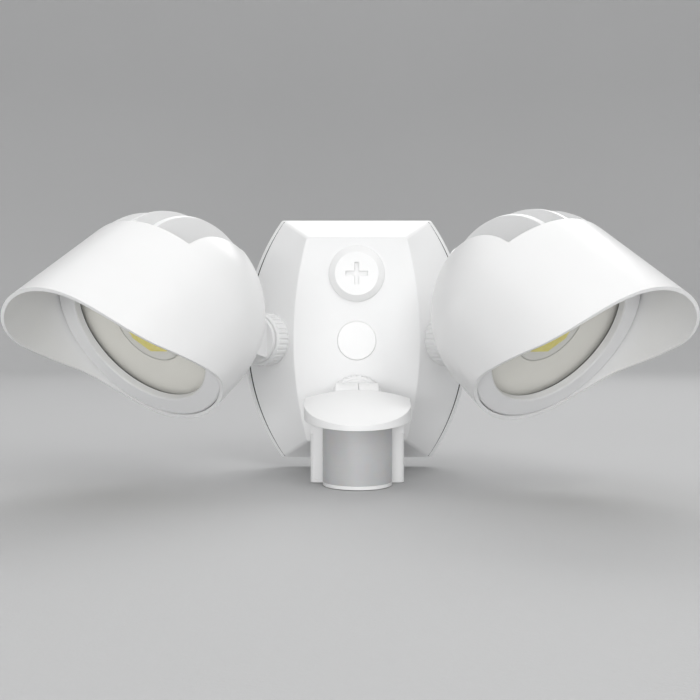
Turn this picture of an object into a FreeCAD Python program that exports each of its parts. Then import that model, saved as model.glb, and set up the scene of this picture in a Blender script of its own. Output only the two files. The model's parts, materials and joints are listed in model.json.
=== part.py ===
import FreeCAD, Part
import Sketcher
import os
import re

# Twin-head motion-sensor floodlight for a wall or a soffit box.
# Frame: origin in the wall plane, at the centre of the mounting strap's slots.
# +Z is up, +X is to the right as seen from the front, and the front faces -Y.
#
# Three screwed arms (two lamps, one sensor) share one design. Each is drawn in an "arm frame":
# origin on the face of the plate's threaded boss, -Y along the arm, +Z up.
# Lamp heads are drawn in a "head frame": origin at the centre of the bezel's front face,
# -Y out of the lens, and every turned piece of the head is turned about Y.

SIZES = {
    # cover plate
    "plate_half_height": 75.0,
    "plate_depth": 22.0,
    "back_corner_half_width": 47.0,
    "back_edge_radius": 129.43,
    "front_half_height": 62.0,
    "front_corner_half_width": 30.4,
    "front_edge_radius": 238.5,
    "plate_wall": 3.0,
    "side_inset": 5.33,
    "end_inset": 3.48,
    "front_inset": 0.9,
    "plate_edge_fillet": 1.2,
    "plate_corner_fillet": 3.0,
    "bevel_angle": 34.2,
    "bevel_middle_across": 54.78,
    "bevel_middle_out": 11.0,
    "gasket_inset": 1.3,
    "gasket_width": 2.6,
    "gasket_depth": 2.0,
    # threaded bosses in the plate
    "boss_radius": 16.0,
    "boss_rise": 0.6,
    "boss_length": 10.0,
    "inner_boss_radius": 14.0,
    "sensor_boss_level": -38.0,
    "plug_level": 40.0,
    "screw_level": -0.7,
    # strap and centre screw
    "strap_half_length": 56.0,
    "strap_half_width": 11.0,
    "strap_thickness": 2.0,
    "slot_spacing": 80.0,
    "slot_length": 21.0,
    "slot_radius": 2.2,
    "ground_screw_radius": 2.05,
    "ground_head_radius": 3.9,
    "ground_head_height": 2.4,
    "centre_screw_radius": 2.5,
    "centre_head_radius": 4.75,
    "centre_head_height": 3.2,
    "screw_seat_depth": 6.5,
    "centre_boss_radius": 14.5,
    "centre_boss_length": 14.0,
    "ground_screw_level": 18.0,
    "ground_screw_across": 6.6,
    "cap_radius": 12.0,
    "cap_proud": 0.5,
    "cap_seat_depth": 2.5,
    # closure plug
    "plug_flange_radius": 17.0,
    "plug_face_radius": 13.2,
    "plug_edge_height": 1.6,
    "plug_height": 3.6,
    "plug_slot_reach": 6.7,
    "plug_slot_width": 2.7,
    "plug_slot_depth": 1.6,
    "plug_stub_length": 9.0,
    # threaded arm, locknut and seal
    "thread_radius": 10.4,
    "running_gap": 0.05,
    "face_gap": 0.3,
    "stub_length": 10.0,
    "nut_radius": 16.5,
    "nut_face_radius": 15.2,
    "nut_height": 9.6,
    "nut_chamfer": 1.3,
    "nut_recess_radius": 15.1,
    "nut_recess_depth": 1.3,
    "rib_radius": 0.85,
    "rib_count": 32,
    "seal_inner_radius": 10.9,
    "seal_outer_radius": 14.9,
    "seal_thickness": 1.2,
    "collar_radius": 14.2,
    "collar_end": 11.9,
    "wire_bore_radius": 3.6,
    # lamp knuckle
    "hinge_out": 20.9,
    "hinge_level": -1.0,
    "ear_thickness": 12.5,
    "lug_thickness": 9.0,
    "lamp_ear_radius": 7.6,
    "head_ear_radius": 8.5,
    "lamp_neck_half_height": 11.2,
    "bolt_radius": 3.0,
    "bolt_head_radius": 5.0,
    "bolt_head_height": 2.8,
    "bolt_seat_radius": 5.4,
    "bolt_seat_depth": 3.2,
    "socket_radius": 2.9,
    "nut_across_flats": 10.0,
    "nut_thickness": 4.0,
    "washer_radius": 6.4,
    "washer_thickness": 1.0,
    # lamp head
    "rest_tilt": 34.7,
    "hinge_back": 62.8,
    "hinge_drop": 47.1,
    "head_radius": 55.6,
    "head_wall": 2.0,
    "dome_back": 22.0,
    "hood_reach": 39.9,
    "rim_bend_radius": 60.0,
    "rim_corner_height": 29.1,
    "notch_front": 25.0,
    "notch_half_width": 39.4,
    "notch_floor": 12.0,
    "bezel_outer_radius": 53.2,
    "bezel_inner_radius": 42.3,
    "bezel_thickness": 7.0,
    "bezel_lip": 4.4,
    "lens_radius": 45.9,
    "lens_thickness": 2.0,
    "lens_seat_radius": 46.1,
    "lens_gasket_inner": 42.6,
    "lens_gasket_thickness": 0.6,
    "reflector_outer_radius": 50.0,
    "reflector_hole_radius": 21.5,
    "board_radius": 21.0,
    "board_thickness": 1.6,
    "chip_half_width": 15.0,
    "chip_corner": 6.21,
    "chip_thickness": 0.6,
    "carrier_radius": 52.7,
    "carrier_front": 9.6,
    "carrier_thickness": 4.0,
    "core_radius": 43.5,
    "core_wall": 3.0,
    "fin_spacing": 14.6,
    "fin_thickness": 2.2,
    "fin_gap": 0.35,
    "driver_half_width": 22.0,
    "driver_half_height": 16.0,
    "driver_depth": 12.0,
    "driver_back": 30.0,
    "carrier_screw_circle": 37.5,
    "carrier_screw_radius": 1.5,
    "carrier_screw_head": 2.8,
    "carrier_post_radius": 4.0,
    # sensor knuckle
    "sensor_hinge_out": 25.1,
    "sensor_ear_radius": 12.9,
    "sensor_ear_reach": 12.2,
    "sensor_ear_split": 0.7,
    "sensor_neck_half_height": 8.5,
    # sensor housing, visor and lens
    "housing_half_width": 26.3,
    "housing_back": 17.4,
    "housing_front": 41.9,
    "housing_top": -13.6,
    "housing_bottom": -42.0,
    "housing_wall": 2.0,
    "upstand_back": 39.9,
    "upstand_top": 1.6,
    "cover_thickness": 2.0,
    "housing_corner": 2.5,
    "visor_half_width": 29.65,
    "visor_back": 38.4,
    "visor_centre": 46.75,
    "visor_wall": 2.2,
    "visor_back_wall": 1.2,
    "crown_radius": 96.9,
    "crown_centre_out": 19.9,
    "crown_centre_level": -85.3,
    "rim_level": -5.1,
    "rim_slope": 8.06,
    "pir_radius": 19.2,
    "pir_straight": 5.0,
    "pir_wall": 1.2,
    "pir_top": -6.9,
    "flange_half_width": 22.0,
    "flange_thickness": 1.2,
    "sensor_board_out": 25.0,
    "sensor_board_half_width": 21.0,
    "sensor_board_low": -38.0,
    "sensor_board_high": -16.5,
    "detector_radius": 4.6,
    "detector_length": 5.0,
    "detector_level": -23.0,
    "dial_across": 12.0,
    "dial_out": 31.0,
    "dial_radius": 4.3,
    "dial_height": 2.6,
    "dial_hole_radius": 4.6,
    "dial_shaft_radius": 2.0,
    "dial_shaft_top": -33.0,
    "dial_slot_width": 1.2,
    "trimmer_half_width": 4.5,
    "trimmer_low": -38.5,
    "trimmer_high": -30.5,
    "relay_width": 15.0,
    "relay_depth": 5.2,
    "relay_height": 15.0,
    "cover_screw_across": 22.6,
    "cover_screw_out": 21.2,
    "cover_screw_radius": 1.3,
    "cover_screw_head": 2.3,
    "cover_post_radius": 2.6,
}

doc = FreeCAD.newDocument("floodlight")
sheet = doc.addObject("Spreadsheet::Sheet", "sizes")
pieces = []


def fill_sheet():
    for row, (alias, value) in enumerate(SIZES.items(), start=1):
        sheet.set(f"A{row}", alias)
        sheet.set(f"B{row}", str(value))
        sheet.setAlias(f"B{row}", alias)
    doc.recompute()


def bound(formula):
    """The formula with each size written as a reference to the sheet."""
    return re.sub(r"[a-z_]+", lambda word: "sizes." + word[0] if word[0] in SIZES else word[0], str(formula))


def value(formula):
    return float(sheet.evalExpression(bound(formula)))


def place(x=0, y=0, z=0, about=(0, 0, 1), angle=0):
    """A placement from formulas: first a turn about an axis through the origin, then a shift."""
    spin = FreeCAD.Rotation(FreeCAD.Vector(*about), value(angle))
    return FreeCAD.Placement(FreeCAD.Vector(value(x), value(y), value(z)), spin)


def outward(x=0, y=0, z=0):
    """A placement that points a primitive's own Z axis along -Y."""
    return place(x, y, z, about=(1, 0, 0), angle=90)


def sideways(x=0, y=0, z=0):
    """A placement that points a primitive's own Z axis along +X."""
    return place(x, y, z, about=(0, 1, 0), angle=90)


def solid(kind, name, placement, **sizes):
    """A Part primitive whose sizes are bound to the sheet."""
    item = doc.addObject("Part::" + kind, name)
    for key, formula in sizes.items():
        item.setExpression(key, bound(formula))
    item.Placement = placement
    return item


def block(name, low, high, placement=None):
    """A box between two corners given as formulas."""
    size = [f"({top}) - ({bottom})" for bottom, top in zip(low, high)]
    corner = place(*low)
    if placement:
        corner = placement.multiply(corner)
    return solid("Box", name, corner, Length=size[0], Width=size[1], Height=size[2])


def fuse(name, shapes):
    item = doc.addObject("Part::MultiFuse", name)
    item.Shapes = shapes
    return item


def cut(name, base, tools):
    item = doc.addObject("Part::Cut", name)
    item.Base = base
    item.Tool = tools[0] if len(tools) == 1 else fuse(name + "_tools", tools)
    return item


def common(name, base, tool):
    item = doc.addObject("Part::Common", name)
    item.Base = base
    item.Tool = tool
    return item


def arc_between(start, end, radius):
    """The shorter arc; a positive radius turns left on the way from start to end."""
    chord = end - start
    middle = (start + end) * 0.5
    left = FreeCAD.Vector(-chord.y, chord.x, 0).normalize()
    rise = max(radius * radius - chord.Length * chord.Length / 4, 0) ** 0.5
    centre = middle + left * (rise if radius > 0 else -rise)
    circle = Part.Circle(centre, FreeCAD.Vector(0, 0, 1), abs(radius))
    first, last = (start, end) if radius > 0 else (end, start)
    return Part.ArcOfCircle(circle, circle.parameter(first), circle.parameter(last))


def pin_point(sketch, geometry, spot, x, y):
    """Ties a sketch point to the origin with distances from the sheet."""
    for kind, axis, formula in (("DistanceX", -2, x), ("DistanceY", -1, y)):
        if abs(value(formula)) < 1e-9:
            sketch.addConstraint(Sketcher.Constraint("PointOnObject", geometry, spot, axis))
        else:
            number = sketch.addConstraint(
                Sketcher.Constraint(kind, -1, 1, geometry, spot, value(formula)))
            sketch.setExpression(f"Constraints[{number}]", bound(formula))


def pin_radius(sketch, geometry, formula):
    number = sketch.addConstraint(Sketcher.Constraint("Radius", geometry, abs(value(formula))))
    sketch.setExpression(f"Constraints[{number}]", f"abs({bound(formula)})")


def add_outline(sketch, corners):
    """A closed outline of (x, y) corners; (x, y, radius) starts an arc to the next corner."""
    points = [FreeCAD.Vector(value(corner[0]), value(corner[1]), 0) for corner in corners]
    heads = []
    tails = []
    for index, corner in enumerate(corners):
        end = points[(index + 1) % len(points)]
        turns_right = len(corner) == 3 and value(corner[2]) < 0
        if len(corner) == 3:
            geometry = sketch.addGeometry(arc_between(points[index], end, value(corner[2])), False)
        else:
            geometry = sketch.addGeometry(Part.LineSegment(points[index], end), False)
        heads.append((geometry, 2 if turns_right else 1))
        tails.append((geometry, 1 if turns_right else 2))
    for index, corner in enumerate(corners):
        following = heads[(index + 1) % len(heads)]
        sketch.addConstraint(Sketcher.Constraint("Coincident", *tails[index], *following))
        pin_point(sketch, *heads[index], corner[0], corner[1])
        if len(corner) == 3:
            pin_radius(sketch, heads[index][0], corner[2])


def add_circle(sketch, x, y, radius):
    circle = Part.Circle(FreeCAD.Vector(value(x), value(y), 0), FreeCAD.Vector(0, 0, 1), value(radius))
    geometry = sketch.addGeometry(circle, False)
    pin_point(sketch, geometry, 3, x, y)
    pin_radius(sketch, geometry, radius)


def draw(body, name, plane, outlines=(), circles=(), lift=None):
    """A sketch on one of the body's origin planes, lifted along the plane's normal."""
    sketch = body.newObject("Sketcher::SketchObject", name)
    support = next(item for item in body.Origin.OriginFeatures if item.Role == plane)
    sketch.AttachmentSupport = [(support, "")]
    sketch.MapMode = "FlatFace"
    if lift:
        sketch.setExpression("AttachmentOffset.Base.z", bound(lift))
    for corners in outlines:
        add_outline(sketch, corners)
    for circle in circles:
        add_circle(sketch, *circle)
    return sketch


def rectangle(half_width, half_height):
    return [(half_width, f"-({half_height})"), (half_width, half_height),
            (f"-({half_width})", half_height), (f"-({half_width})", f"-({half_height})")]


def lathe(name, profile):
    """A body turned about Y from (radius, y) corners."""
    body = doc.addObject("PartDesign::Body", name)
    turn = body.newObject("PartDesign::Revolution", name + "_turn")
    turn.Profile = draw(body, name + "_profile", "XY_Plane", [profile])
    turn.ReferenceAxis = (turn.Profile[0], ["V_Axis"])
    turn.Angle = 360
    body.Tip = turn
    return body


def padded(name, plane, outlines, length, circles=(), lift=None):
    """A body padded from outlines on an origin plane."""
    body = doc.addObject("PartDesign::Body", name)
    pad = body.newObject("PartDesign::Pad", name + "_pad")
    pad.Profile = draw(body, name + "_outline", plane, outlines, circles, lift)
    pad.setExpression("Length", bound(length))
    body.Tip = pad
    return body


def ribbed(body, name, sketch_radius, tool_radius, count):
    """Cuts a ring of grooves along Y into the outside of a turned body."""
    groove = body.newObject("PartDesign::Pocket", name + "_groove")
    groove.Profile = draw(body, name + "_groove_outline", "XZ_Plane",
                          circles=[(0, sketch_radius, tool_radius)])
    groove.Type = "ThroughAll"
    groove.Midplane = True
    ring = body.newObject("PartDesign::PolarPattern", name + "_ribs")
    ring.Originals = [groove]
    ring.Axis = (next(item for item in body.Origin.OriginFeatures if item.Role == "Y_Axis"), [""])
    ring.Angle = 360
    ring.setExpression("Occurrences", bound(count))
    body.Tip = ring


def piece(item, label, placement=None):
    """Registers a finished sub-part under its node name, in its place."""
    item.Label = label
    if placement:
        item.Placement = placement
    pieces.append(item)
    return item


def disc(name, radius, front, back, hole=None):
    """A turned disc or ring between two stations on Y; front is the more negative."""
    inner = hole if hole else "0"
    return lathe(name, [(inner, front), (radius, front), (radius, back), (inner, back)])


def pan_screw(name, radius, head_radius, head_height, length):
    """A screw along Y with a domed head: head above y = 0 on the -Y side, shank on the +Y side."""
    shoulder = f"{head_radius} * 0.62"
    return lathe(name, [
        ("0", f"-({head_height})"), (shoulder, f"-({head_height})"),
        (head_radius, f"-({head_height}) * 0.45"), (head_radius, "0"),
        (radius, "0"), (radius, length), ("0", length)])


# ---------------------------------------------------------------- frames of the arms and heads

def arm_frame(side):
    """The arm frame of the left (-1) or right (1) lamp, on the plate's bevel."""
    spot = place(f"{side} * bevel_middle_across", "-bevel_middle_out", 0, angle=f"{side} * bevel_angle")
    return spot.multiply(place(0, "-boss_rise", 0))


def sensor_frame():
    return place(0, "-(plate_depth + boss_rise)", "sensor_boss_level")


def head_frame(side):
    hinge = place(0, "-hinge_out", "hinge_level", about=(1, 0, 0), angle="rest_tilt")
    ring = place("-(ear_thickness / 2 + face_gap)", "-hinge_back", "hinge_drop")
    return arm_frame(side).multiply(hinge).multiply(ring)


# ---------------------------------------------------------------- cover plate and its fixings

def plate_outline(corner, level, radius):
    """Straight top and bottom, and two bowed sides."""
    return [(corner, f"-({level})", radius), (corner, level),
            (f"-({corner})", level, radius), (f"-({corner})", f"-({level})")]


def back_outline(inset):
    return plate_outline(f"back_corner_half_width - ({inset})", f"plate_half_height - ({inset})",
                         "back_edge_radius")


def edges_where(shape, test):
    return [f"Edge{number}" for number, edge in enumerate(shape.Edges, start=1) if test(edge)]


def plate_shell():
    """The bevelled shell: an outer loft with softened edges, hollowed by an inner loft."""
    body = doc.addObject("PartDesign::Body", "plate_shell")
    outer = body.newObject("PartDesign::AdditiveLoft", "outer_loft")
    outer.Profile = draw(body, "outer_back", "XZ_Plane", [back_outline("0")])
    outer.Sections = [draw(body, "outer_front", "XZ_Plane", [plate_outline(
        "front_corner_half_width", "front_half_height", "front_edge_radius")], lift="plate_depth")]
    outer.Ruled = True
    doc.recompute()
    corners = body.newObject("PartDesign::Fillet", "corner_fillet")
    corners.Base = (outer, edges_where(outer.Shape, lambda edge: edge.BoundBox.YLength > 20))
    corners.setExpression("Radius", bound("plate_corner_fillet"))
    doc.recompute()
    front = body.newObject("PartDesign::Fillet", "front_fillet")
    depth = value("plate_depth")
    front.Base = (corners, edges_where(corners.Shape, lambda edge: edge.BoundBox.YMax < 0.01 - depth))
    front.setExpression("Radius", bound("plate_edge_fillet"))
    inner = body.newObject("PartDesign::SubtractiveLoft", "inner_loft")
    inner.Profile = draw(body, "inner_back", "XZ_Plane", [plate_outline(
        "back_corner_half_width - side_inset", "plate_half_height - end_inset", "back_edge_radius")])
    inner.Sections = [draw(body, "inner_front", "XZ_Plane", [plate_outline(
        "front_corner_half_width - front_inset", "front_half_height - front_inset * 2",
        "front_edge_radius")], lift="plate_depth - plate_wall")]
    inner.Ruled = True
    body.Tip = inner
    return body


def boss(name, placement):
    """A round threaded boss, proud of the plate outside and deep inside; its bore is cut later."""
    proud = solid("Cylinder", name + "_proud", outward(0, "boss_rise + 1", 0), Radius="boss_radius",
                  Height="boss_rise + 1")
    deep = solid("Cylinder", name + "_deep", outward(0, "boss_length", 0), Radius="inner_boss_radius",
                 Height="boss_length - boss_rise - 1")
    item = fuse(name, [proud, deep])
    item.Placement = placement
    return item


def bore(name, placement):
    item = doc.addObject("Part::Cylinder", name)
    item.setExpression("Radius", bound("thread_radius + running_gap"))
    item.setExpression("Height", bound("boss_length + plate_depth"))
    item.Placement = placement.multiply(outward(0, "boss_length + 4", 0))
    return item


def cover_plate():
    frames = {"left_hub": arm_frame(-1), "right_hub": arm_frame(1), "sensor_hub": sensor_frame()}
    bosses = [boss(name, placement) for name, placement in frames.items()]
    face = "-plate_depth"
    plug_rim = solid("Cylinder", "plug_hub", outward(0, f"{face} + boss_length", "plug_level"),
                     Radius="inner_boss_radius + 1", Height="boss_length - 1")
    centre = solid("Cylinder", "centre_boss", outward(0, f"{face} + centre_boss_length", "screw_level"),
                   Radius="centre_boss_radius", Height="centre_boss_length - 1")
    body = fuse("plate_body", [plate_shell(), plug_rim, centre] + bosses)
    tools = [bore(name + "_bore", placement) for name, placement in frames.items()]
    tools.append(solid("Cylinder", "plug_bore", outward(0, 0, "plug_level"),
                       Radius="thread_radius + running_gap", Height="plate_depth + 1"))
    tools.append(solid("Cylinder", "cap_seat", outward(0, f"{face} + cap_seat_depth", "screw_level"),
                       Radius="cap_radius + 0.05", Height="cap_seat_depth + 1"))
    tools.append(solid("Cylinder", "head_seat", outward(0, f"{face} + screw_seat_depth", "screw_level"),
                       Radius="centre_head_radius + 0.4", Height="screw_seat_depth"))
    tools.append(solid("Cylinder", "screw_hole", outward(0, 0, "screw_level"),
                       Radius="centre_screw_radius + 0.25", Height="plate_depth"))
    tools.append(solid("Cylinder", "gasket_plug_recess", outward(0, face, "plug_level"),
                       Radius="boss_radius", Height="1"))
    tools.append(padded("gasket_groove", "XZ_Plane",
                        [back_outline("gasket_inset"), back_outline("gasket_inset + gasket_width")],
                        "gasket_depth"))
    tools.append(solid("Box", "wall_side", place(-200, 0, -200), Length="400", Width="40", Height="400"))
    piece(cut("cover_plate_solid", body, tools), "cover_plate")


def wall_gasket():
    piece(padded("wall_gasket_body", "XZ_Plane",
                 [back_outline("gasket_inset"), back_outline("gasket_inset + gasket_width")],
                 "gasket_depth"), "wall_gasket")


def slot(middle):
    """A slot along Z, as two straight sides and four quarter arcs."""
    reach = "slot_length / 2 - slot_radius"
    low, high = f"{middle} - ({reach})", f"{middle} + ({reach})"
    wide = "slot_radius"
    return [(wide, low), (wide, high, wide), ("0", f"{high} + {wide}", wide), (f"-{wide}", high),
            (f"-{wide}", low, wide), ("0", f"{low} - {wide}", wide)]


def mounting_strap():
    outline = rectangle("strap_half_width", "strap_half_length")
    piece(padded("strap_body", "XZ_Plane", [outline, slot("slot_spacing / 2"), slot("-slot_spacing / 2")],
                 "strap_thickness",
                 circles=[(0, "screw_level", "centre_screw_radius + 0.02"),
                          ("ground_screw_across", "ground_screw_level", "ground_screw_radius + 0.02")]),
          "mounting_strap")


def centre_fixings():
    seat = "-plate_depth + screw_seat_depth"
    piece(pan_screw("centre_screw_body", "centre_screw_radius", "centre_head_radius",
                    "centre_head_height", "plate_depth - screw_seat_depth + 6"),
          "centre_screw", place(0, seat, "screw_level"))
    front, back = "-plate_depth - cap_proud", "-plate_depth + cap_seat_depth"
    cap = lathe("screw_cap_body", [
        ("0", front), ("cap_radius - 0.6", front), ("cap_radius", f"{front} + 0.5"), ("cap_radius", back),
        ("cap_radius - 1.6", back), ("cap_radius - 1.6", f"{back} - 1"), ("0", f"{back} - 1")])
    piece(cap, "screw_cap", place(0, 0, "screw_level"))
    ground = pan_screw("ground_screw_body", "ground_screw_radius", "ground_head_radius",
                       "ground_head_height", "strap_thickness + 3")
    piece(ground, "ground_screw", place("ground_screw_across", "-strap_thickness", "ground_screw_level"))


def closure_plug():
    spot = place(0, "-plate_depth", "plug_level")
    turned = lathe("plug_turned", [
        ("0", "-plug_height"), ("plug_face_radius", "-plug_height"),
        ("plug_flange_radius - 0.5", "-plug_edge_height"),
        ("plug_flange_radius", "-plug_edge_height + 0.5"), ("plug_flange_radius", "0"),
        ("seal_outer_radius", "0"), ("seal_outer_radius", "-0.8"), ("thread_radius", "-0.8"),
        ("thread_radius", "plug_stub_length"), ("thread_radius - 2.5", "plug_stub_length"),
        ("thread_radius - 2.5", "0.5"), ("0", "0.5")])
    arms = []
    for name, wide, tall in (("across", "plug_slot_reach", "plug_slot_width / 2"),
                             ("upright", "plug_slot_width / 2", "plug_slot_reach")):
        arms.append(block(f"plug_slot_{name}", (f"-({wide})", "-plug_height - 1", f"-({tall})"),
                          (wide, "-plug_height + plug_slot_depth", tall)))
    piece(cut("plug_solid", turned, arms), "closure_plug", spot)
    piece(disc("plug_gasket_ring", "seal_outer_radius", "-0.8", "0", hole="seal_inner_radius"),
          "plug_gasket", spot)


# ---------------------------------------------------------------- arms, locknuts and knuckles

def locknut(name, placement):
    """A ribbed ring that jams against the boss; its thread is drawn as a plain running bore."""
    hole = "thread_radius + running_gap"
    body = lathe(name + "_body", [
        (hole, "-nut_height"), ("nut_face_radius", "-nut_height"),
        ("nut_radius", "-nut_height + nut_chamfer"), ("nut_radius", "-face_gap"),
        ("nut_recess_radius", "-face_gap"), ("nut_recess_radius", "-face_gap - nut_recess_depth"),
        (hole, "-face_gap - nut_recess_depth")])
    ribbed(body, name, "nut_radius + 0.2", "rib_radius", "rib_count")
    piece(body, name, placement)


def hub_seal(name, placement):
    piece(disc(name + "_ring", "seal_outer_radius", "-seal_thickness", "0", hole="seal_inner_radius"),
          name, placement)


def ear_outline(root, neck, hinge, level, radius):
    """A lug in (y, z): a straight neck that swells to a round end about the hinge."""
    return [(f"-({root})", f"-({neck})"), (f"-({hinge})", f"{level} - {radius}", f"-({radius})"),
            (f"-({hinge}) - {radius}", level, f"-({radius})"), (f"-({hinge})", f"{level} + {radius}"),
            (f"-({root})", neck)]


def threaded_stub(name):
    """Thread through the plate and locknut, then a round collar."""
    return lathe(name, [
        ("wire_bore_radius", "-collar_end"), ("collar_radius - 0.6", "-collar_end"),
        ("collar_radius", "-collar_end + 0.6"), ("collar_radius", "-nut_height - face_gap"),
        ("thread_radius", "-nut_height - face_gap"), ("thread_radius", "stub_length - 1"),
        ("thread_radius - 1", "stub_length"), ("wire_bore_radius", "stub_length")])


def lamp_arm(name, placement):
    """A round arm flattened on both sides, with a blind hole for the bolt and a seat for the washer."""
    ear = ear_outline("collar_end - 0.5", "lamp_neck_half_height", "hinge_out", "hinge_level",
                      "lamp_ear_radius")
    lug = padded(name + "_arm_lug", "YZ_Plane", [ear], "lug_thickness", lift="0")
    bar = solid("Cylinder", name + "_arm_bar", outward(0, "-(collar_end - 0.5)", 0),
                Radius="collar_radius", Height="hinge_out")
    blank = fuse(name + "_arm_blank", [threaded_stub(name + "_arm_stub"),
                                       common(name + "_arm_round_lug", lug, bar)])
    bore = solid("Cylinder", name + "_arm_bore", sideways("-1", "-hinge_out", "hinge_level"),
                 Radius="bolt_radius + running_gap", Height="lug_thickness - 0.8")
    recess = solid("Cylinder", name + "_washer_recess", sideways("-1", "-hinge_out", "hinge_level"),
                   Radius="washer_radius + 0.1", Height="1 + washer_thickness")
    piece(cut(name + "_arm_solid", blank, [bore, recess]), name + "_arm", placement)


def hinge_bolt(name, placement):
    """A bolt along X: its head lies in the lamp head's ear and its end in the arm's lug."""
    seat = "bolt_seat_depth - ear_thickness - face_gap"
    shank = solid("Cylinder", name + "_shank", sideways(f"{seat} - 0.5", "-hinge_out", "hinge_level"),
                  Radius="bolt_radius", Height=f"lug_thickness - 2 + 0.5 - ({seat})")
    head = solid("Cylinder", name + "_head",
                 sideways(f"{seat} - bolt_head_height", "-hinge_out", "hinge_level"),
                 Radius="bolt_head_radius", Height="bolt_head_height")
    socket = solid("Prism", name + "_socket",
                   sideways(f"{seat} - bolt_head_height - 1", "-hinge_out", "hinge_level"),
                   Polygon="6", Circumradius="socket_radius", Height="2.8")
    item = cut(name + "_solid", fuse(name + "_blank", [shank, head]), [socket])
    piece(item, name, placement)


def hex_prism(name, placement, radius, height):
    return solid("Prism", name, placement, Polygon="6", Circumradius=radius, Height=height)


def hinge_nut(name, placement, start, y, z):
    """A hexagon nut about a hinge axis along X; start is its end nearer -X."""
    hexagon = hex_prism(name + "_hexagon", sideways(start, y, z),
                        "nut_across_flats / 2 / cos(30)", "nut_thickness")
    hole = solid("Cylinder", name + "_hole", sideways(f"{start} - 1", y, z),
                 Radius="bolt_radius + running_gap", Height="nut_thickness + 2")
    piece(cut(name + "_solid", hexagon, [hole]), name, placement)


def knuckle_washer(name, placement):
    """A friction washer let into the arm's lug, facing the head's ear."""
    washer = disc(name + "_ring", "washer_radius", "-washer_thickness", "0", hole="bolt_radius + 0.2")
    piece(washer, name, placement.multiply(place(0, "-hinge_out", "hinge_level", angle=90)))


# ---------------------------------------------------------------- lamp head

def head_solid(name, radius, front):
    """A solid cylinder with a half-sphere behind it."""
    return lathe(name, [("0", front), (radius, front), (radius, "dome_back", radius),
                        ("0", f"dome_back + {radius}")])


def rim_cutter(name):
    """Removes what lies in front of the hood's rim: low at the bottom, bent forward at the top."""
    far = "-hood_reach - 20"
    wide = "head_radius + 10"
    body = padded(name, "YZ_Plane", [[
        ("0", f"-({wide})"), ("0", "-rim_corner_height"), ("-hood_reach", "rim_corner_height"),
        ("-hood_reach", wide), (far, wide), (far, f"-({wide})")]], f"2 * ({wide})", lift=f"-({wide})")
    doc.recompute()
    pad = body.Tip
    bend = value("rim_corner_height")
    fillet = body.newObject("PartDesign::Fillet", name + "_bends")
    fillet.Base = (pad, edges_where(pad.Shape, lambda edge: edge.BoundBox.XLength > 50
                                    and abs(abs(edge.BoundBox.ZMin) - bend) < 0.01))
    fillet.setExpression("Radius", bound("rim_bend_radius"))
    body.Tip = fillet
    return body


def notch_block(name, gap):
    """The opening in the top of the dome, over the cooling fins; gap shrinks it all round."""
    wide = f"notch_half_width - ({gap})"
    return block(name, (f"-({wide})", f"notch_front + ({gap})", f"notch_floor + ({gap})"),
                 (wide, "dome_back + head_radius + 5", "head_radius + 5"))


def head_shell(name, placement):
    inner = "head_radius - head_wall"
    half = "ear_thickness / 2"
    reach = "sqrt(hinge_drop ^ 2 + (hinge_back - dome_back) ^ 2) - head_radius + 1.2"
    ear = solid("Cylinder", name + "_ear", sideways(f"-({half})", "hinge_back", "-hinge_drop"),
                Radius="head_ear_radius", Height="ear_thickness")
    turn = place(0, "hinge_back", "-hinge_drop", about=(1, 0, 0),
                 angle="-atan(hinge_drop / (hinge_back - dome_back))")
    web = block(name + "_web", (f"-({half})", f"-({reach})", "-head_ear_radius"),
                (half, "0", "head_ear_radius"), turn)
    outer = cut(name + "_outer_cut", head_solid(name + "_outer", "head_radius", "-hood_reach"),
                [head_solid(name + "_inner", inner, "-hood_reach - 5"), rim_cutter(name + "_rim"),
                 notch_block(name + "_notch", "0")])
    blank = fuse(name + "_blank", [outer, ear, web])
    bolt = solid("Cylinder", name + "_hinge_bore", sideways(f"-({half}) - 1", "hinge_back", "-hinge_drop"),
                 Radius="bolt_radius + running_gap", Height="ear_thickness + 2")
    seat = solid("Cylinder", name + "_bolt_seat", sideways(f"-({half}) - 1", "hinge_back", "-hinge_drop"),
                 Radius="bolt_seat_radius", Height="bolt_seat_depth + 1")
    relief = solid("Cylinder", name + "_lug_relief", sideways(half, "hinge_back", "-hinge_drop"),
                   Radius="lamp_ear_radius + 0.5", Height="face_gap + lug_thickness + 1")
    piece(cut(name + "_shell_solid", blank, [bolt, seat, relief]), name + "_head_shell", placement)


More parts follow.
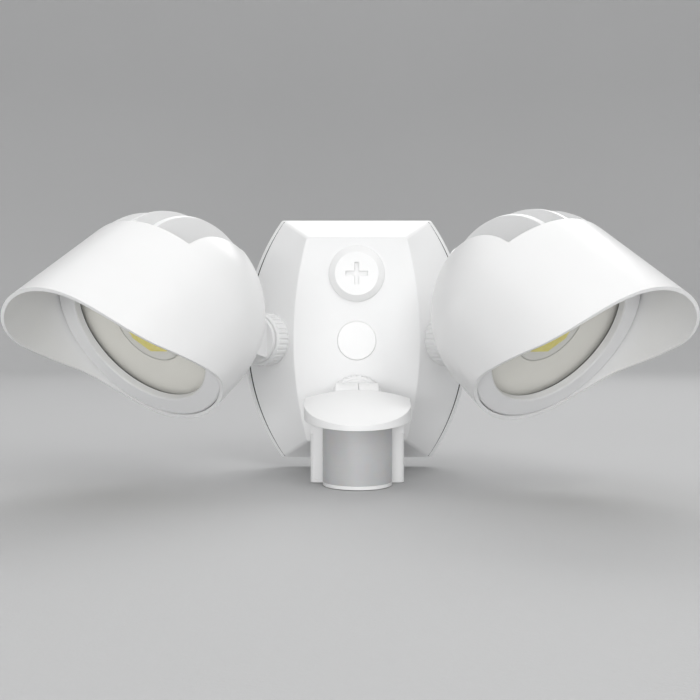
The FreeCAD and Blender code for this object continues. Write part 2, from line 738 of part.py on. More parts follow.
def heat_sink(name, placement):
    """A cast cup behind the light engine, with fins that stand up into the notch."""
    back = "carrier_front + carrier_thickness"
    outer, inner = "core_radius", "core_radius - core_wall"
    cup = lathe(name + "_cup", [
        (inner, back), (outer, back), (outer, "dome_back", outer), ("0", f"dome_back + {outer}"),
        ("0", f"dome_back + {inner}", f"-({inner})"), (inner, "dome_back")])
    slabs = []
    for index, steps in enumerate((-1.5, -0.5, 0.5, 1.5)):
        middle = f"{steps} * fin_spacing"
        low = (f"{middle} - fin_thickness / 2", "notch_front + fin_gap", "notch_floor + fin_gap")
        high = (f"{middle} + fin_thickness / 2", "dome_back + head_radius", "head_radius")
        slabs.append(block(f"{name}_slab_{index}", low, high))
    trim = solid("Sphere", name + "_fin_trim", place(0, "dome_back", 0), Radius="head_radius - 0.2")
    fins = common(name + "_fins", fuse(name + "_slabs", slabs), trim)
    hollow = solid("Sphere", name + "_hollow", place(0, "dome_back", 0), Radius=f"{outer} - 0.5")
    posts = [solid("Cylinder", f"{name}_post_{index}",
                   outward(f"carrier_screw_circle * cos({angle})", "carrier_front + carrier_thickness + 12",
                           f"carrier_screw_circle * sin({angle})"),
                   Radius="carrier_post_radius", Height="12")
             for index, angle in enumerate((90, 210, 330))]
    holes = [solid("Cylinder", f"{name}_post_hole_{index}",
                   outward(f"carrier_screw_circle * cos({angle})", "carrier_front + carrier_thickness + 9",
                           f"carrier_screw_circle * sin({angle})"),
                   Radius="carrier_screw_radius", Height="20")
             for index, angle in enumerate((90, 210, 330))]
    trimmed = cut(name + "_trimmed_fins", fins, [hollow])
    blank = fuse(name + "_blank", [cup, trimmed] + posts)
    piece(cut(name + "_sink_solid", blank, holes), name + "_heat_sink", placement)


def screw_ring(name, seat):
    """Three pan-head screws on the carrier's circle, each its own solid."""
    screws = []
    for index, angle in enumerate((90, 210, 330)):
        screw = pan_screw(f"{name}_{index}", "carrier_screw_radius", "carrier_screw_head", "1.2",
                          "carrier_thickness + 8")
        screw.Placement = place(f"carrier_screw_circle * cos({angle})", seat,
                                f"carrier_screw_circle * sin({angle})")
        screws.append(screw)
    return fuse(name + "_group", screws)


def light_engine(name, placement):
    front = "carrier_front"
    plate = disc(name + "_plate", "carrier_radius", front, f"{front} + carrier_thickness")
    holes = [solid("Cylinder", f"{name}_carrier_hole_{index}",
                   outward(f"carrier_screw_circle * cos({angle})", 30,
                           f"carrier_screw_circle * sin({angle})"),
                   Radius="carrier_screw_radius + 0.2", Height="60")
             for index, angle in enumerate((90, 210, 330))]
    piece(cut(name + "_carrier_solid", plate, holes), name + "_led_carrier", placement)
    piece(screw_ring(name + "_carrier_screw", front), name + "_carrier_screws", placement)
    board_back, board_front = front, f"{front} - board_thickness"
    piece(disc(name + "_board", "board_radius", board_front, board_back), name + "_led_board", placement)
    wide, corner = "chip_half_width", "chip_corner"
    octagon = [(wide, f"-{corner}"), (wide, corner), (corner, wide), (f"-{corner}", wide),
               (f"-{wide}", corner), (f"-{wide}", f"-{corner}"), (f"-{corner}", f"-{wide}"),
               (corner, f"-{wide}")]
    piece(padded(name + "_chip", "XZ_Plane", [octagon], "chip_thickness", lift=f"-({board_front})"),
          name + "_led_chip", placement)
    piece(lathe(name + "_dish", [
        ("reflector_hole_radius", "carrier_front - 1.6"),
        ("reflector_outer_radius", "bezel_thickness + 0.05"),
        ("reflector_outer_radius", "bezel_thickness + 0.85"),
        ("reflector_hole_radius + 1", "carrier_front - 0.8")]),
        name + "_reflector", placement)
    piece(padded(name + "_driver", "XZ_Plane", [rectangle("driver_half_width", "driver_half_height")],
                 "driver_depth", lift="-driver_back"), name + "_driver_module", placement)


def lens_stack(name, placement):
    """Frosted lens behind the bezel's lip, with a thin gasket between them."""
    front = "(bezel_lip + lens_gasket_thickness)"
    back = f"{front} + lens_thickness"
    piece(lathe(name + "_glass", [
        ("0", front), ("lens_radius - 0.4", front), ("lens_radius", f"{front} + 0.4"),
        ("lens_radius", back), ("0", back)]), name + "_lens", placement)
    piece(disc(name + "_lens_ring", "lens_radius", "bezel_lip", front, hole="lens_gasket_inner"),
          name + "_lens_gasket", placement)
    piece(lathe(name + "_bezel_ring", [
        ("bezel_inner_radius", "0.7"), ("bezel_inner_radius + 0.7", "0"), ("bezel_outer_radius - 0.9", "0"),
        ("bezel_outer_radius", "0.9"), ("bezel_outer_radius", "bezel_thickness"),
        ("lens_seat_radius", "bezel_thickness"), ("lens_seat_radius", "bezel_lip"),
        ("bezel_inner_radius", "bezel_lip")]), name + "_bezel", placement)


def lamp(side, name):
    arm = arm_frame(side)
    head = head_frame(side)
    locknut(name + "_locknut", arm)
    hub_seal(name + "_hub_seal", arm)
    lamp_arm(name, arm)
    hinge_bolt(name + "_hinge_bolt", arm)
    knuckle_washer(name + "_knuckle_washer", arm)
    head_shell(name, head)
    heat_sink(name, head)
    light_engine(name, head)
    lens_stack(name, head)


# ---------------------------------------------------------------- motion sensor

def sensor_arm(placement):
    """The sensor's arm: its lug is half of the round knuckle, with a counterbore for the bolt's head."""
    ear = ear_outline("collar_end - 0.5", "sensor_neck_half_height", "sensor_hinge_out", "0",
                      "sensor_ear_radius")
    lug = padded("sensor_arm_lug", "YZ_Plane", [ear], "sensor_ear_split + sensor_ear_reach",
                 lift="-sensor_ear_reach")
    bore = solid("Cylinder", "sensor_arm_bore", sideways("-sensor_ear_reach - 1", "-sensor_hinge_out", 0),
                 Radius="bolt_radius + running_gap", Height="sensor_ear_reach + sensor_ear_split + 2")
    seat = solid("Cylinder", "sensor_arm_seat", sideways("-sensor_ear_reach - 1", "-sensor_hinge_out", 0),
                 Radius="bolt_seat_radius", Height="bolt_seat_depth + 1")
    blank = fuse("sensor_arm_blank", [threaded_stub("sensor_arm_stub"), lug])
    piece(cut("sensor_arm_solid", blank, [bore, seat]), "sensor_arm", placement)


def sensor_bolt(placement):
    """The hinge bolt, with its head in the arm's lug on the -X side and its nut in the housing's ear."""
    start = "-sensor_ear_reach + bolt_seat_depth"
    shank = solid("Cylinder", "sensor_bolt_shank", sideways(f"{start} - 0.5", "-sensor_hinge_out", 0),
                  Radius="bolt_radius", Height="2 * sensor_ear_reach - bolt_seat_depth - 0.5")
    head = solid("Cylinder", "sensor_bolt_head",
                 sideways("-sensor_ear_reach + bolt_seat_depth - bolt_head_height", "-sensor_hinge_out", 0),
                 Radius="bolt_head_radius", Height="bolt_head_height")
    socket = hex_prism("sensor_bolt_socket", sideways("-sensor_ear_reach - 1", "-sensor_hinge_out", 0),
                       "socket_radius", "bolt_seat_depth")
    piece(cut("sensor_bolt_solid", fuse("sensor_bolt_blank", [shank, head]), [socket]),
          "sensor_hinge_bolt", placement)


def housing_outline(inset):
    """The housing in plan, with rounded corners."""
    wide, corner = f"(housing_half_width - {inset})", f"(housing_corner - {inset} * 0.5)"
    back, front = f"-(housing_back + {inset})", f"-(housing_front - {inset})"
    return [(wide, f"{front} + {corner}"), (wide, f"{back} - {corner}", corner),
            (f"{wide} - {corner}", back), (f"-{wide} + {corner}", back, corner),
            (f"-{wide}", f"{back} - {corner}"), (f"-{wide}", f"{front} + {corner}", corner),
            (f"-{wide} + {corner}", front), (f"{wide} - {corner}", front, corner)]


def lens_outline(inset, back):
    """The half-round lens in plan: two straight sides and a round front."""
    radius = f"(pir_radius - {inset})"
    centre = "-(housing_front + pir_straight)"
    return [(radius, back), (f"-{radius}", back), (f"-{radius}", centre, radius),
            ("0", f"{centre} - {radius}", radius), (radius, centre)]


def visor_outline(inset, back):
    """The visor in plan: a straight back and a half-round front."""
    radius = f"(visor_half_width - {inset})"
    return [(radius, back), (f"-{radius}", back), (f"-{radius}", "-visor_centre", radius),
            ("0", f"-visor_centre - {radius}", radius), (radius, "-visor_centre")]


def housing(placement):
    floor = "housing_bottom + cover_thickness"
    shell = padded("housing_shell", "XY_Plane", [housing_outline("0")], f"housing_top - ({floor})",
                   lift=floor)
    wall = "housing_wall"
    upstand = block("housing_upstand", ("-housing_half_width + 0.2", "-housing_front", "housing_top - 1"),
                    ("housing_half_width - 0.2", "-upstand_back", "upstand_top"))
    ear = solid("Cylinder", "housing_ear", sideways("sensor_ear_split + face_gap", "-sensor_hinge_out", 0),
                Radius="sensor_ear_radius", Height="sensor_ear_reach - sensor_ear_split - face_gap")
    neck = block("housing_neck", ("sensor_ear_split + face_gap", "-sensor_hinge_out - 9", "housing_top - 1"),
                 ("sensor_ear_reach", "-housing_back", "-sensor_ear_radius * 0.6"))
    cavity = padded("housing_cavity", "XY_Plane", [housing_outline(wall)],
                    f"housing_top - {wall} - ({floor}) + 1", lift=f"{floor} - 1")
    posts = [solid("Cylinder", f"cover_post_{side}",
                   place(f"{side} * cover_screw_across", "-cover_screw_out", floor),
                   Radius="cover_post_radius", Height="12") for side in (-1, 1)]
    hollow = cut("housing_hollow", fuse("housing_blank", [shell, upstand, ear, neck]), [cavity])
    window = block("housing_window", ("-(pir_radius + 0.1)", "-housing_front - 1", f"{floor} - 1"),
                   ("pir_radius + 0.1", "-upstand_back + 0.01", "pir_top + 0.1"))
    bolt = solid("Cylinder", "housing_hinge_bore", sideways("0", "-sensor_hinge_out", 0),
                 Radius="bolt_radius + running_gap", Height="sensor_ear_reach + 1")
    pocket = hex_prism("housing_nut_pocket", sideways("sensor_ear_reach - nut_thickness - 0.6",
                                                      "-sensor_hinge_out", 0),
                       "(nut_across_flats / 2 + 0.1) / cos(30)", "nut_thickness + 2")
    holes = [solid("Cylinder", f"cover_post_hole_{side}",
                   place(f"{side} * cover_screw_across", "-cover_screw_out", f"{floor} - 1"),
                   Radius="cover_screw_radius", Height="10") for side in (-1, 1)]
    piece(cut("housing_solid", fuse("housing_posted", [hollow] + posts), [window, bolt, pocket] + holes),
          "sensor_housing", placement)


def crown(name, inset, back, low):
    """The visor's bulk: the plan outline under a large shallow dome."""
    prism = padded(name + "_prism", "XY_Plane", [visor_outline(inset, back)], "40", lift=low)
    ball = solid("Sphere", name + "_ball", place(0, "-crown_centre_out", "crown_centre_level"),
                 Radius=f"crown_radius - {inset}")
    return common(name, prism, ball)


def visor(placement):
    outer = crown("visor_outer", "0", "-visor_back", "-20")
    inner = crown("visor_inner", "visor_wall", "-visor_back - visor_back_wall", "-30")
    tilt = place(0, "-visor_centre", "rim_level", about=(1, 0, 0), angle="rim_slope")
    under = block("visor_rim_cut", ("-60", "-80", "-60"), ("60", "80", "0"), tilt)
    piece(cut("visor_solid", outer, [inner, under]), "sensor_visor", placement)


def pir_lens(placement):
    floor = "housing_bottom + cover_thickness"
    height = f"pir_top - ({floor})"
    outer = padded("pir_outer", "XY_Plane", [lens_outline("0", "-upstand_back")], height, lift=floor)
    flange_top = "housing_top - housing_wall - 0.3"
    flange = block("pir_flange", ("-flange_half_width", "-upstand_back", floor),
                   ("flange_half_width", "-upstand_back + flange_thickness", flange_top))
    inner = padded("pir_inner", "XY_Plane", [lens_outline("pir_wall", "-upstand_back + 3")],
                   f"{height} - pir_wall + 1", lift=f"{floor} - 1")
    upper = block("pir_upper_cut", ("-60", "-upstand_back - 0.01", flange_top),
                  ("60", "0", "40"))
    piece(cut("pir_solid", fuse("pir_blank", [outer, flange]), [inner, upper]), "pir_lens", placement)


def bottom_cover(placement):
    slab = padded("cover_slab", "XY_Plane", [housing_outline("0")], "cover_thickness", lift="housing_bottom")
    lip = padded("cover_lip", "XY_Plane", [lens_outline("0", "-housing_front + 3")], "cover_thickness",
                 lift="housing_bottom")
    tools = [solid("Cylinder", f"dial_hole_{side}",
                   place(f"{side} * dial_across", "-dial_out", "housing_bottom - 1"),
                   Radius="dial_hole_radius", Height="cover_thickness + 2") for side in (-1, 1)]
    for side in (-1, 1):
        across = f"{side} * cover_screw_across"
        tools.append(solid("Cylinder", f"cover_screw_hole_{side}",
                           place(across, "-cover_screw_out", "housing_bottom - 1"),
                           Radius="cover_screw_radius + 0.2", Height="cover_thickness + 2"))
        tools.append(solid("Cylinder", f"cover_screw_seat_{side}",
                           place(across, "-cover_screw_out", "housing_bottom - 1"),
                           Radius="cover_screw_head + 0.2", Height="2.2"))
    piece(cut("cover_solid", fuse("cover_blank", [slab, lip]), tools), "sensor_bottom_cover", placement)
    screws = []
    for side in (-1, 1):
        head = solid("Cylinder", f"cover_screw_head_{side}",
                     place(f"{side} * cover_screw_across", "-cover_screw_out", "housing_bottom + 0.1"),
                     Radius="cover_screw_head", Height="1.1")
        shank = solid("Cylinder", f"cover_screw_shank_{side}",
                      place(f"{side} * cover_screw_across", "-cover_screw_out", "housing_bottom + 1"),
                      Radius="cover_screw_radius", Height="8")
        slot_cut = solid("Prism", f"cover_screw_drive_{side}",
                         place(f"{side} * cover_screw_across", "-cover_screw_out", "housing_bottom"),
                         Polygon="6", Circumradius="1.1", Height="0.8")
        blank = fuse(f"cover_screw_blank_{side}", [head, shank])
        screws.append(cut(f"cover_screw_{side}", blank, [slot_cut]))
    piece(fuse("cover_screw_pair", screws), "cover_screws", placement)


def sensor_electronics(placement):
    high, low = "sensor_board_high", "sensor_board_low"
    front = "-sensor_board_out - board_thickness"
    board = block("sensor_board_slab", ("-sensor_board_half_width", front, low),
                  ("sensor_board_half_width", "-sensor_board_out", high))
    piece(fuse("sensor_board_group", [board, detector_socket()]), "sensor_board", placement)
    can = lathe("detector_can", [
        ("0", "-detector_length"), ("detector_radius - 0.4", "-detector_length"),
        ("detector_radius", "-detector_length + 0.4"), ("detector_radius", "0"), ("0", "0")])
    spot = place(0, "-sensor_board_out - board_thickness - 1", "detector_level")
    piece(can, "pir_detector", placement.multiply(spot))
    blocks = []
    for side in (-1, 1):
        middle = f"{side} * dial_across"
        body = block(f"trimmer_block_{side}",
                     (f"{middle} - trimmer_half_width", "-dial_out - trimmer_half_width", "trimmer_low"),
                     (f"{middle} + trimmer_half_width", front, "trimmer_high"))
        hole = solid("Cylinder", f"trimmer_hole_{side}", place(middle, "-dial_out", "trimmer_low - 1"),
                     Radius="dial_shaft_radius + running_gap", Height="dial_shaft_top - trimmer_low + 1.3")
        blocks.append(cut(f"trimmer_{side}", body, [hole]))
    piece(fuse("trimmer_pair", blocks), "trimmers", placement)
    relay = padded("relay_block", "XZ_Plane", [rectangle("relay_width / 2", "relay_height / 2")],
                   "relay_depth", lift="sensor_board_out - relay_depth")
    relay_spot = place("-relay_width / 2 - 2", 0, f"{low} + 2 + relay_height / 2")
    piece(relay, "relay", placement.multiply(relay_spot))


def detector_socket():
    return solid("Cylinder", "detector_socket",
                 outward(0, "-sensor_board_out - board_thickness + 0.5", "detector_level"),
                 Radius="detector_radius - 1", Height="1.5")


def dial(side, name, placement):
    """A slotted dial on a shaft that turns in its trimmer."""
    low = "housing_bottom + 0.1"
    knob = solid("Cylinder", name + "_knob", place(0, 0, low), Radius="dial_radius", Height="dial_height")
    shaft = solid("Cylinder", name + "_shaft", place(0, 0, low), Radius="dial_shaft_radius",
                  Height=f"dial_shaft_top - ({low})")
    groove = block(name + "_groove", ("-dial_radius", "-dial_slot_width / 2", f"{low} - 1"),
                   ("dial_radius", "dial_slot_width / 2", f"{low} + 1"))
    spot = place(f"{side} * dial_across", "-dial_out", 0)
    blank = fuse(name + "_blank", [knob, shaft])
    piece(cut(name + "_solid", blank, [groove]), name, placement.multiply(spot))


def sensor():
    frame = sensor_frame()
    locknut("sensor_locknut", frame)
    hub_seal("sensor_hub_seal", frame)
    sensor_arm(frame)
    sensor_bolt(frame)
    hinge_nut("sensor_hinge_nut", frame, "sensor_ear_reach - nut_thickness - 0.5", "-sensor_hinge_out", "0")
    housing(frame)
    visor(frame)
    pir_lens(frame)
    bottom_cover(frame)
    sensor_electronics(frame)
    dial(-1, "time_dial", frame)
    dial(1, "light_dial", frame)


# ---------------------------------------------------------------- build, check and write

def check_and_write():
    doc.recompute()
    for item in doc.Objects:
        if "Invalid" in item.State or "Error" in item.State:
            raise SystemExit(f"{item.Name} did not build: {item.State}")
    os.makedirs("parts", exist_ok=True)
    for item in pieces:
        shape = item.Shape
        if shape.isNull() or not shape.isValid() or not shape.Solids:
            raise SystemExit(f"{item.Label} has no valid solid")
        shape.exportStep(f"parts/{item.Label}.step")
        print(f"{item.Label}: {len(shape.Solids)} solid(s), {shape.Volume / 1000:.2f} cm3")


fill_sheet()
cover_plate()
wall_gasket()
mounting_strap()
centre_fixings()
closure_plug()
lamp(-1, "left")
lamp(1, "right")
sensor()
check_and_write()
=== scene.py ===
import json
import math

import bmesh
import bpy
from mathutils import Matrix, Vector


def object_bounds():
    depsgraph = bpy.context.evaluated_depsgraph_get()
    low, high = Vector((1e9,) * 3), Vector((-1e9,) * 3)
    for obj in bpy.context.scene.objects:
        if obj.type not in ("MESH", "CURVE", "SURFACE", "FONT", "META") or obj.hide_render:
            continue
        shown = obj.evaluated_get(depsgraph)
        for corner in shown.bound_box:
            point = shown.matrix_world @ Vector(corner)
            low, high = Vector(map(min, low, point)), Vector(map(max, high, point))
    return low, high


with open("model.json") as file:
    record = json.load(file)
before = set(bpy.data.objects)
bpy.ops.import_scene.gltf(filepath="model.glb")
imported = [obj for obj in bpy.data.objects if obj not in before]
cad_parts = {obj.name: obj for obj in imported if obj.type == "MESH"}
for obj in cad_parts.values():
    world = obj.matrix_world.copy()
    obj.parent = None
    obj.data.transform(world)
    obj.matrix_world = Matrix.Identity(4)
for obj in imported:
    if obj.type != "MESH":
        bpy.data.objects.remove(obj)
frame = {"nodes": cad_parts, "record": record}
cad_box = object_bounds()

# Looks for a twin-head motion-sensor floodlight. Lengths are metres, in the CAD frame:
# +X to the right of somebody facing the light, +Y into the wall, +Z up.

MM = 0.001
# Cosines of the angle between face and rounded normal where a face ends and an edge is full.
FACE_COSINE, EDGE_COSINE = 0.985, 0.82

# ---------------------------------------------------------------- node helpers


class Tree:
    """A material's node tree, with short calls for the nodes the finishes use."""

    def __init__(self, name):
        self.material = bpy.data.materials.new(name)
        self.material.use_nodes = True
        self.nodes = self.material.node_tree.nodes
        self.links = self.material.node_tree.links
        self.nodes.clear()
        self.output = self.nodes.new("ShaderNodeOutputMaterial")
        self.shader = self.nodes.new("ShaderNodeBsdfPrincipled")
        self.links.new(self.shader.outputs["BSDF"], self.output.inputs["Surface"])
        coordinates = self.nodes.new("ShaderNodeTexCoord")
        self.place = coordinates.outputs["Object"]

    def feed(self, socket, value):
        """Links a socket to another node's output, or sets its number or colour."""
        if isinstance(value, bpy.types.NodeSocket):
            self.links.new(value, socket)
        else:
            socket.default_value = value

    def fixed(self, **values):
        """Sets the shader's own sockets; an underscore in a name stands for a space."""
        for name, value in values.items():
            self.feed(self.shader.inputs[name.replace("_", " ")], value)

    def noise(self, scale, detail=2.0, roughness=0.5, stretch=None):
        node = self.nodes.new("ShaderNodeTexNoise")
        node.inputs["Scale"].default_value = scale
        node.inputs["Detail"].default_value = detail
        node.inputs["Roughness"].default_value = roughness
        self.feed(node.inputs["Vector"], self.stretched(stretch))
        return node.outputs["Fac"]

    def stretched(self, stretch):
        """The object's own coordinates, scaled along its axes where a pattern is long."""
        if stretch is None:
            return self.place
        node = self.nodes.new("ShaderNodeMapping")
        node.inputs["Scale"].default_value = stretch
        self.feed(node.inputs["Vector"], self.place)
        return node.outputs["Vector"]

    def cells(self, scale, feature="F1"):
        node = self.nodes.new("ShaderNodeTexVoronoi")
        node.feature = feature
        node.inputs["Scale"].default_value = scale
        self.feed(node.inputs["Vector"], self.place)
        return node.outputs["Distance"]

    def spread(self, value, low, high, start=0.0, end=1.0):
        """A factor from low..high turned into start..end, and held there outside it."""
        node = self.nodes.new("ShaderNodeMapRange")
        self.feed(node.inputs["Value"], value)
        for socket, number in zip(
            ("From Min", "From Max", "To Min", "To Max"), (low, high, start, end)
        ):
            node.inputs[socket].default_value = number
        return node.outputs["Result"]

    def mix(self, factor, first, second):
        node = self.nodes.new("ShaderNodeMix")
        node.data_type = "RGBA"
        self.feed(node.inputs["Factor"], factor)
        colours = [s for s in node.inputs if s.type == "RGBA"]
        self.feed(colours[0], first)
        self.feed(colours[1], second)
        return next(s for s in node.outputs if s.type == "RGBA")

    def times(self, first, second):
        return self.calculated("MULTIPLY", first, second)

    def plus(self, first, second):
        return self.calculated("ADD", first, second)

    def calculated(self, operation, first, second):
        node = self.nodes.new("ShaderNodeMath")
        node.operation = operation
        self.feed(node.inputs[0], first)
        self.feed(node.inputs[1], second)
        return node.outputs["Value"]

    def rounded(self, radius):
        """The surface's normal as if its edges were rounded to this radius."""
        node = self.nodes.new("ShaderNodeBevel")
        node.samples = 4
        node.inputs["Radius"].default_value = radius
        return node.outputs["Normal"]

    def edges(self, normal):
        """A factor that is 0 on faces and rises towards 1 at the edges."""
        geometry = self.nodes.new("ShaderNodeNewGeometry")
        node = self.nodes.new("ShaderNodeVectorMath")
        node.operation = "DOT_PRODUCT"
        self.feed(node.inputs[0], normal)
        self.feed(node.inputs[1], geometry.outputs["Normal"])
        return self.spread(node.outputs["Value"], FACE_COSINE, EDGE_COSINE)

    def bump(self, height, distance, normal=None):
        node = self.nodes.new("ShaderNodeBump")
        node.inputs["Strength"].default_value = 1.0
        node.inputs["Distance"].default_value = distance
        self.feed(node.inputs["Height"], height)
        if normal is not None:
            self.feed(node.inputs["Normal"], normal)
        return node.outputs["Normal"]


def shade(colour, factor):
    """A colour made lighter or darker, as an RGBA tuple."""
    return tuple(min(1.0, c * factor) for c in colour[:3]) + (1.0,)


# ------------------------------------------------------------------ the finishes


def coated(name, colour, rough, peel, peel_depth, grain, grain_depth, edge_radius, edge_wear_and_highlight, ior=1.5):
    """A painted or moulded finish: slow colour drift, fine grain, and edges that catch light.

    Peel and grain are noise scales in cycles per metre, and the two depths and the edge's radius
    are in millimetres. The last argument sets how much paler the edges are: a painted highlight
    with some wear in it.
    """
    tree = Tree(name)
    edge_normal = tree.rounded(edge_radius * MM)
    edge = tree.edges(edge_normal)
    drift = tree.spread(tree.noise(14, 3), 0.3, 0.7)
    base = tree.mix(drift, shade(colour, 0.975), shade(colour, 1.015))
    fleck = tree.spread(tree.noise(1900, 1), 0.68, 0.8)
    base = tree.mix(tree.times(fleck, 0.12), base, shade(colour, 0.8))
    # paler edges: a painted highlight with some wear in it
    base = tree.mix(tree.times(edge, edge_wear_and_highlight), base, shade(colour, 1.12))
    patch = tree.spread(tree.noise(65, 4, 0.6), 0.3, 0.75, rough - 0.012, rough + 0.02)
    slow = tree.bump(tree.noise(peel, 2), peel_depth * MM, edge_normal)
    tree.fixed(Base_Color=base, IOR=ior)
    tree.fixed(Roughness=tree.plus(patch, tree.times(edge, 0.06)))
    tree.fixed(Normal=tree.bump(tree.noise(grain, 2), grain_depth * MM, slow))
    return tree.material


# the last number of each coat sets its edges' painted highlight, with some wear in it
COATS = {
    # powder coat over die-cast aluminium
    "white_casting": dict(
        colour=(0.885, 0.887, 0.887), rough=0.36, peel=620, peel_depth=0.03,
        grain=2600, grain_depth=0.01, edge_radius=0.2, edge_wear_and_highlight=0.5,
    ),
    # moulded polycarbonate, smoother than the castings
    "white_plastic": dict(
        colour=(0.9, 0.901, 0.899), rough=0.3, peel=240, peel_depth=0.008,
        grain=3400, grain_depth=0.003, edge_radius=0.45, edge_wear_and_highlight=0.5, ior=1.54,
    ),
    # satin moulding of the ring round each lens
    "bezel_plastic": dict(
        colour=(0.81, 0.812, 0.816), rough=0.38, peel=260, peel_depth=0.01,
        grain=3800, grain_depth=0.01, edge_radius=0.5, edge_wear_and_highlight=0.6,
    ),
    # white solder mask over an aluminium board
    "board_metal": dict(
        colour=(0.82, 0.82, 0.8), rough=0.3, peel=900, peel_depth=0.03,
        grain=3600, grain_depth=0.01, edge_radius=0.3, edge_wear_and_highlight=0.5,
    ),
    "reflector_white": dict(
        colour=(0.92, 0.91, 0.86), rough=0.5, peel=420, peel_depth=0.03,
        grain=3000, grain_depth=0.01, edge_radius=0.4, edge_wear_and_highlight=0.3,
    ),
    "rubber_black": dict(
        colour=(0.018, 0.018, 0.019), rough=0.62, peel=500, peel_depth=0.08,
        grain=2200, grain_depth=0.05, edge_radius=0.5, edge_wear_and_highlight=0.7,
    ),
    # poured compound, with a slow ripple
    "potting": dict(
        colour=(0.02, 0.02, 0.023), rough=0.22, peel=120, peel_depth=0.2,
        grain=2400, grain_depth=0.01, edge_radius=0.6, edge_wear_and_highlight=0.4,
    ),
    # dark nylon with a spark-eroded grain
    "dial_plastic": dict(
        colour=(0.05, 0.05, 0.055), rough=0.5, peel=700, peel_depth=0.04,
        grain=2800, grain_depth=0.03, edge_radius=0.3, edge_wear_and_highlight=0.35,
    ),
    "trimmer_blue": dict(
        colour=(0.03, 0.12, 0.5), rough=0.38, peel=600, peel_depth=0.03,
        grain=3000, grain_depth=0.01, edge_radius=0.3, edge_wear_and_highlight=0.4,
    ),
    "relay_black": dict(
        colour=(0.02, 0.02, 0.022), rough=0.35, peel=500, peel_depth=0.03,
        grain=3000, grain_depth=0.01, edge_radius=0.3, edge_wear_and_highlight=0.5,
    ),
}


def frosted_lens():
    """Frosted glass: milky, so the chip behind it shows as a pale patch."""
    tree = Tree("frosted_lens")
    drift = tree.spread(tree.noise(22, 3), 0.3, 0.7)
    base = tree.mix(drift, (0.88, 0.87, 0.82, 1), (0.92, 0.91, 0.86, 1))
    frost = tree.noise(2600, 3, 0.7)
    tree.fixed(Base_Color=base, Alpha=0.15, IOR=1.45)
    tree.fixed(Roughness=tree.spread(tree.noise(180, 3), 0.3, 0.7, 0.42, 0.5))
    tree.fixed(Normal=tree.bump(frost, 0.03 * MM))
    return tree.material


def phosphor():
    """Silicone over the diodes: grainy yellow, a touch paler between the dies."""
    tree = Tree("phosphor")
    dies = tree.spread(tree.cells(420), 0.25, 0.6)
    base = tree.mix(dies, (0.9, 0.76, 0.02, 1), (0.95, 0.84, 0.08, 1))
    grains = tree.spread(tree.noise(3200, 2), 0.55, 0.8, 0, 0.25)
    base = tree.mix(grains, base, (0.98, 0.92, 0.3, 1))
    tree.fixed(Base_Color=base, Subsurface_Weight=0.2, Subsurface_Scale=1 * MM)
    tree.fixed(Roughness=tree.spread(tree.noise(500, 3), 0.3, 0.7, 0.3, 0.42))
    tree.fixed(Normal=tree.bump(dies, 0.1 * MM))
    return tree.material


def fresnel():
    """Milky polyethylene window of the detector, with its facets moulded inside."""
    tree = Tree("fresnel")
    edge_normal = tree.rounded(0.5 * MM)
    waves = tree.nodes.new("ShaderNodeTexWave")
    waves.wave_type, waves.bands_direction = "BANDS", "Z"
    waves.inputs["Scale"].default_value = 95
    waves.inputs["Distortion"].default_value = 0
    tree.feed(waves.inputs["Vector"], tree.place)
    facets = tree.spread(waves.outputs["Fac"], 0.9, 1.0)
    cloud = tree.spread(tree.noise(40, 3), 0.3, 0.7)
    base = tree.mix(cloud, (0.52, 0.522, 0.528, 1), (0.56, 0.562, 0.568, 1))
    base = tree.mix(tree.times(facets, 0.12), base, (0.5, 0.5, 0.51, 1))
    tree.fixed(Base_Color=base, Subsurface_Weight=0.25, Subsurface_Scale=2 * MM)
    tree.fixed(Roughness=tree.spread(tree.noise(300, 3), 0.3, 0.7, 0.36, 0.46))
    tree.fixed(Normal=tree.bump(tree.noise(1500, 2), 0.02 * MM, edge_normal))
    return tree.material


def foam_black():
    """Closed-cell foam with its cut cells showing."""
    tree = Tree("foam_black")
    cells = tree.cells(1300)
    open_cells = tree.spread(cells, 0.2, 0.7)
    base = tree.mix(open_cells, (0.012, 0.012, 0.013, 1), (0.05, 0.05, 0.052, 1))
    tree.fixed(Base_Color=base)
    tree.fixed(Roughness=tree.spread(tree.noise(300, 3), 0.3, 0.7, 0.8, 0.95))
    tree.fixed(Normal=tree.bump(cells, 0.3 * MM))
    return tree.material


def plated(name, colour, dark):
    """Passivated zinc: soft blotches, fine drawing marks and rubbed edges."""
    tree = Tree(name)
    edge_normal = tree.rounded(0.3 * MM)
    edge = tree.edges(edge_normal)
    blotch = tree.spread(tree.noise(160, 4, 0.6), 0.3, 0.7)
    base = tree.mix(blotch, colour + (1.0,), dark + (1.0,))
    base = tree.mix(tree.times(edge, 0.5), base, shade(colour, 1.25))
    scratches = tree.noise(1100, 3, 0.6, stretch=(1, 1, 0.12))
    tree.fixed(Base_Color=base, Metallic=1.0)
    tree.fixed(Roughness=tree.spread(scratches, 0.3, 0.7, 0.28, 0.45))
    tree.fixed(Normal=tree.bump(scratches, 0.02 * MM, edge_normal))
    return tree.material


def circuit_board():
    """Green solder mask over copper tracks."""
    tree = Tree("circuit_board")
    tracks = tree.spread(tree.cells(380, "DISTANCE_TO_EDGE"), 0.08, 0.12)
    base = tree.mix(tracks, (0.03, 0.22, 0.08, 1), (0.015, 0.13, 0.05, 1))
    tree.fixed(Base_Color=base)
    tree.fixed(Roughness=tree.spread(tree.noise(300, 3), 0.3, 0.7, 0.22, 0.34))
    tree.fixed(Normal=tree.bump(tracks, 0.05 * MM))
    return tree.material


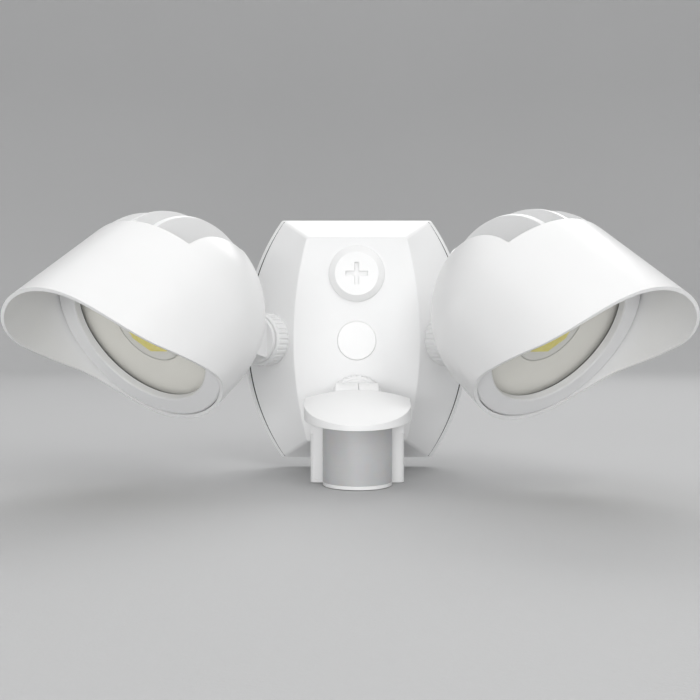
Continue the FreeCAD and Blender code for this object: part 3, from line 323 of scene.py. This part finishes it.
finish = {name: coated(name, **coat) for name, coat in COATS.items()}
finish["frosted_lens"] = frosted_lens()
finish["phosphor"] = phosphor()
finish["fresnel"] = fresnel()
finish["foam_black"] = foam_black()
finish["circuit_board"] = circuit_board()
finish["zinc_steel"] = plated("zinc_steel", (0.66, 0.67, 0.69), (0.56, 0.57, 0.6))
finish["green_steel"] = plated("green_steel", (0.06, 0.28, 0.1), (0.04, 0.2, 0.08))

for part in frame["record"]["subparts"]:
    node = frame["nodes"][part["node"]]
    for slot in node.material_slots:
        slot.material = finish[part["material_slot"]]

# ------------------------------------------------------------------- the studio


def studio_cove(floor, flat, sweep, height, steps=24, turns=96):
    """A round floor that sweeps up into a wall, so the horizon never shows."""
    profile = [(0.0, floor), (flat * 0.5, floor), (flat, floor)]
    for i in range(1, steps + 1):
        a = math.pi / 2 * i / steps
        profile.append((flat + sweep * math.sin(a), floor + sweep * (1 - math.cos(a))))
    profile.append((flat + sweep, floor + height))
    mesh = bpy.data.meshes.new("studio_cove")
    shape = bmesh.new()
    rings = []
    for radius, z in profile:
        if radius == 0.0:
            rings.append([shape.verts.new((0.0, 0.0, z))])
            continue
        rings.append([
            shape.verts.new((
                radius * math.cos(2 * math.pi * j / turns),
                radius * math.sin(2 * math.pi * j / turns),
                z,
            ))
            for j in range(turns)
        ])
    for inner, outer in zip(rings, rings[1:]):
        for j in range(turns):
            k = (j + 1) % turns
            if len(inner) == 1:
                shape.faces.new((inner[0], outer[j], outer[k]))
            else:
                shape.faces.new((inner[j], outer[j], outer[k], inner[k]))
    shape.to_mesh(mesh)
    shape.free()
    mesh.polygons.foreach_set("use_smooth", [True] * len(mesh.polygons))
    cove = bpy.data.objects.new("studio_cove", mesh)
    bpy.context.scene.collection.objects.link(cove)
    paint = Tree("studio_paper")
    tone = paint.spread(paint.noise(1.2, 2), 0.3, 0.7)
    grey = paint.mix(tone, (0.55, 0.552, 0.555, 1), (0.565, 0.567, 0.57, 1))
    paint.fixed(Base_Color=grey, Roughness=0.9)
    paint.fixed(Normal=paint.bump(paint.noise(900, 2), 0.1 * MM))
    mesh.materials.append(paint.material)


def soft_box(name, place, aim, width, height, power, tint=(1, 1, 1)):
    """A rectangular studio light that faces a point."""
    data = bpy.data.lights.new(name, "AREA")
    data.shape, data.size, data.size_y = "RECTANGLE", width, height
    data.energy, data.color = power, tint
    light = bpy.data.objects.new(name, data)
    light.location = place
    light.rotation_mode = "QUATERNION"
    light.rotation_quaternion = (Vector(aim) - Vector(place)).to_track_quat("-Z", "Y")
    bpy.context.scene.collection.objects.link(light)


def ambient(strength, tint):
    world = bpy.data.worlds.new("studio_air")
    world.use_nodes = True
    background = world.node_tree.nodes["Background"]
    background.inputs["Color"].default_value = tint
    background.inputs["Strength"].default_value = strength
    bpy.context.scene.world = world


def eye(across, out, up, nod, lens):
    """The viewing camera, facing the wall and nodded down by an angle in radians."""
    data = bpy.data.cameras.new("eye")
    data.lens, data.sensor_width = lens, 36.0
    data.clip_start, data.clip_end = 0.01, 20.0
    camera = bpy.data.objects.new("eye", data)
    camera.location = (across * MM, -out * MM, up * MM)
    camera.rotation_euler = (math.pi / 2 - nod, 0.0, 0.0)
    bpy.context.scene.collection.objects.link(camera)
    bpy.context.scene.camera = camera


MIDDLE = (0.0, -0.07, 0.0)
FLOOR_GAP = 0.4 * MM

studio_cove(floor=cad_box[0].z - FLOOR_GAP, flat=1.5, sweep=0.9, height=2.4)
ambient(0.9, (1.0, 1.0, 1.0, 1.0))
soft_box("key", (0.75, -1.15, 1.05), MIDDLE, 0.9, 0.9, power=7.0, tint=(1.0, 0.998, 0.994))
soft_box("fill", (-0.2, -1.5, 0.0), MIDDLE, 1.2, 0.4, power=11.0)
soft_box("rim", (0.3, 1.0, 1.1), MIDDLE, 1.2, 0.5, power=6.0)
eye(across=-4.1, out=545.3, up=3.0, nod=0.018, lens=44.23)

scene = bpy.context.scene
scene.view_settings.view_transform = "Standard"
